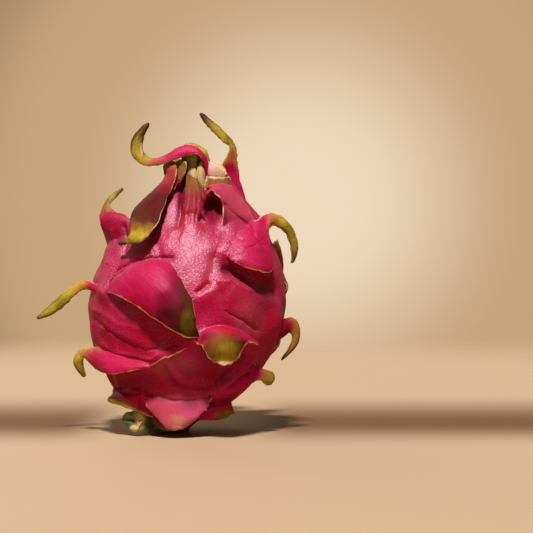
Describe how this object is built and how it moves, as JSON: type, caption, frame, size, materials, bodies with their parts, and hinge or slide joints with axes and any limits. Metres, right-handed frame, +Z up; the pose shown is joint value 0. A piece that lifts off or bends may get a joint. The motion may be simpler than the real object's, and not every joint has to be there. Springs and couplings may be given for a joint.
{
  "type": "dragon fruit",
  "caption": "Whole red-skinned dragon fruit standing on its stem end, egg-shaped, with leathery scales that curl into horns and a dried flower in its crown",
  "frame": {"origin": "middle of the small flat spot under the fruit that it rests on", "axes": "+Z up along the fruit, from stem end to crown; -Y towards the front, where the large folded scale hangs; +X to the right seen from the front"},
  "size_m": [0.1139, 0.1119, 0.1404],
  "materials": {
    "fruit_skin": "waxy, leathery, pink-red with olive scale tips",
    "cut_stem": "green rind, tan where it is cut",
    "dried_flower": "dry, straw-coloured"
  },
  "bodies": {
    "root": {"fruit": "fruit_skin", "stem_stub": "cut_stem", "flower_remains": "dried_flower"}
  },
  "joints": []
}
